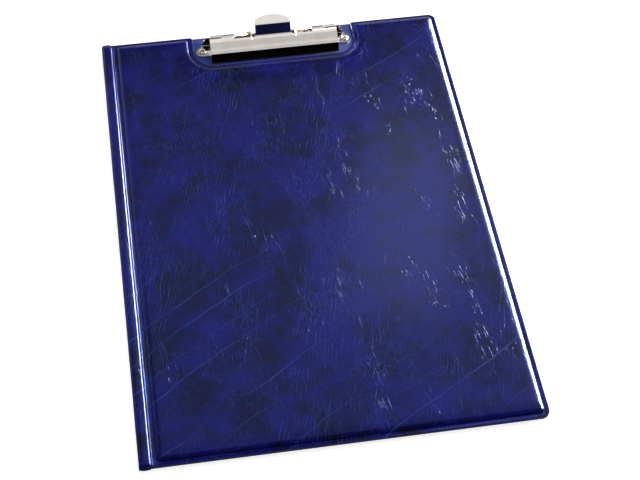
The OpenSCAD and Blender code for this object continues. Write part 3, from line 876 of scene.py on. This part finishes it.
# the riser and the half-round thumb plate, drawn out of the plate's rear edge in narrowing steps
edge = pull(bm, rows(bm, -riser_setback, arch_top, 0, tab_w / 2), (0, riser_lean, 0))
for v in {v for e in edge for v in e.verts}:
    v.co.z = riser_h
slope = Vector((0, math.cos(math.radians(tab_slope)), -math.sin(math.radians(tab_slope))))
edge = pull(bm, edge, slope * tab_run)
reach = 0
for k in range(1, tab_steps + 1):
    turn = math.pi / 2 * k / tab_steps
    ahead = tab_w / 2 * math.sin(turn)
    edge = pull(bm, edge, slope * (ahead - reach))
    reach = ahead
    for v in {v for e in edge for v in e.verts}:
        v.co.x = math.copysign(max(tab_w / 2 * math.cos(turn), tab_tip), v.co.x)
bmesh.ops.remove_doubles(bm, verts=bm.verts, dist=merge_gap)
bmesh.ops.translate(bm, verts=bm.verts, vec=pin_centre)
jaw = finish_piece("clip_jaw", bm, nickel, "jaw", sharp=40)
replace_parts(steel_sheet(jaw), "jaw_plate")


# ---- Studio ----
# A white floor under two lamps that light what is matt. The softboxes show only in reflections: over
# the cover, to its left, behind it, and on the right, where the free edge catches a bright line.

floor_size = 2.4


def studio_floor_material():
    # Matt white card, lifted to plain white for the camera.
    made, tree, shader = new_material("white_card", Roughness=0.9)
    place = add(tree, "ShaderNodeTexCoord", {}).outputs["Object"]
    fibre = add(tree, "ShaderNodeTexNoise", {"Vector": place, "Scale": every(3)})
    tone = add(tree, "ShaderNodeMix", {0: fibre.outputs["Fac"], 6: paint("#b2b2b2"), 7: paint("#b8b8b8")},
               data_type="RGBA").outputs[2]
    tree.links.new(tone, shader.inputs["Base Color"])
    seen = add(tree, "ShaderNodeLightPath", {}).outputs["Is Camera Ray"]
    lift = add(tree, "ShaderNodeMath", {0: seen, 1: 0.8}, operation="MULTIPLY").outputs[0]
    shader.inputs["Emission Color"].default_value = (1, 1, 1, 1)
    tree.links.new(lift, shader.inputs["Emission Strength"])
    return made


bm = bmesh.new()
bmesh.ops.create_circle(bm, cap_ends=True, segments=96, radius=floor_size / 2,
                        matrix=Matrix.Translation((0, 0, -0.1 * MM)))
mesh = bpy.data.meshes.new("floor")
bm.to_mesh(mesh)
bm.free()
mesh.materials.append(studio_floor_material())
ground = bpy.data.objects.new("floor", mesh)
bpy.context.scene.collection.objects.link(ground)


def lamp(name, place, aim, width, height, radiance, surfaces):
    """A rectangular soft light from one point towards another, for matt or for glossy surfaces."""
    data = bpy.data.lights.new(name, "AREA")
    data.shape = "RECTANGLE"
    data.size, data.size_y = width, height
    data.energy = math.pi * width * height * radiance
    made = bpy.data.objects.new(name, data)
    made.location = place
    made.rotation_euler = (Vector(aim) - Vector(place)).to_track_quat("-Z", "Y").to_euler()
    made.visible_glossy = surfaces == "glossy"
    made.visible_diffuse = surfaces == "matt"
    bpy.context.scene.collection.objects.link(made)


lamp("key_light", (0.5, 0.5, 1.6), (0, 0, 0), 1.2, 1.2, 4.8, "matt")
lamp("fill_light", (-0.9, -0.7, 1.5), (0, 0, 0), 1.2, 1.2, 2.2, "matt")
lamp("high_softbox", (0.1, 0.5, 1.2), (0.1, 0.5, 0), 1.2, 1.6, 0.7, "glossy")
lamp("far_strip", (0.1, 0.7, 1.19), (0.1, 0.7, 0), 1.2, 0.55, 0.3, "glossy")
lamp("near_strip", (0.1, -0.2, 1.19), (0.1, -0.2, 0), 1.2, 0.3, 0.25, "glossy")
lamp("right_softbox", (1.27, 0.54, 0.5), (0.11, 0, 0), 1.5, 0.9, 100, "glossy")
lamp("back_spot", (0.36, 0.95, 1.3), (0.06, 0.05, 0), 0.2, 0.36, 2.6, "glossy")
lamp("left_softbox", (-0.8, 0.7, 0.6), (-0.1, 0, 0), 0.8, 0.8, 0.8, "glossy")

# the room is dark but for a low band of light at the back, and white to the camera
world = bpy.data.worlds.new("studio")
bpy.context.scene.world = world
world.use_nodes = True
tree = world.node_tree
background = tree.nodes["Background"]
way = add(tree, "ShaderNodeTexCoord", {}).outputs["Generated"]
parts = add(tree, "ShaderNodeSeparateXYZ", {0: way})
behind = add(tree, "ShaderNodeMapRange", {0: parts.outputs["Y"], 1: 0.2, 2: 0.8, 3: 0.006, 4: 1.0}).outputs[0]
low = add(tree, "ShaderNodeMapRange", {0: parts.outputs["Z"], 1: 0.25, 2: 0.5, 3: 1.0, 4: 0.06}).outputs[0]
wall_light = add(tree, "ShaderNodeMath", {0: behind, 1: low}, operation="MULTIPLY").outputs[0]
seen = add(tree, "ShaderNodeLightPath", {}).outputs["Is Camera Ray"]
strength = add(tree, "ShaderNodeMath", {0: wall_light, 1: seen}, operation="MAXIMUM").outputs[0]
tree.links.new(strength, background.inputs["Strength"])
background.inputs["Color"].default_value = (1, 1, 1, 1)

# the camera looks down over the near edge, from where the outline is as in the photograph
lens = bpy.data.cameras.new("camera")
lens.lens = 76.98
lens.shift_x = 0.0364
lens.clip_start = 0.01
camera = bpy.data.objects.new("camera", lens)
camera.location = (-0.0866, -0.5082, 0.6741)
camera.rotation_euler = Euler([math.radians(a) for a in (36.469, -0.546, -8.433)])
bpy.context.scene.collection.objects.link(camera)
bpy.context.scene.camera = camera
bpy.context.scene.view_settings.view_transform = "Standard"
